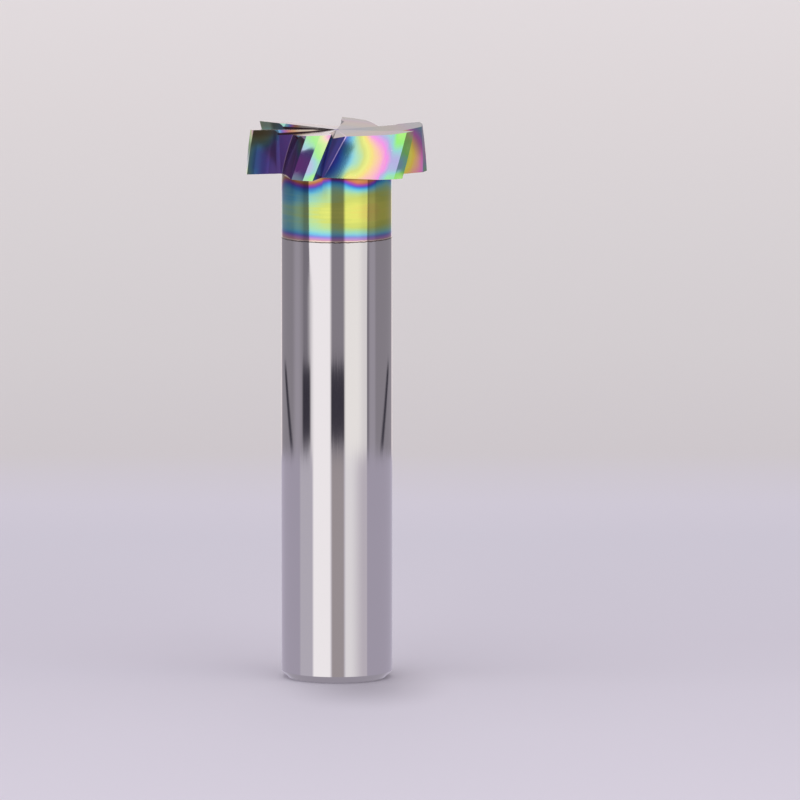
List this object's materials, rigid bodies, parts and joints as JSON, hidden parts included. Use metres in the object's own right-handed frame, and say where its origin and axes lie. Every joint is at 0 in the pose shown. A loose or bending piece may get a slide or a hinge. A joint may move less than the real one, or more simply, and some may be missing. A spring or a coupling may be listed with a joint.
{
  "type": "t slot cutter",
  "caption": "Solid carbide T slot milling cutter: round ground shank, relieved neck and a flat disc head with helical side teeth and hollow ground end teeth.",
  "frame": {"origin": "centre of the shank's flat end face, which the cutter stands on", "axes": "+Z along the cutter's axis, from the shank end to the cutting end; -Y is the front of the view it was built from"},
  "size_m": [0.0196, 0.02, 0.06],
  "materials": {
    "carbide": "ground and polished shank, thin film coating on the neck and head"
  },
  "bodies": {
    "root": {"cutter": "carbide"}
  },
  "joints": []
}
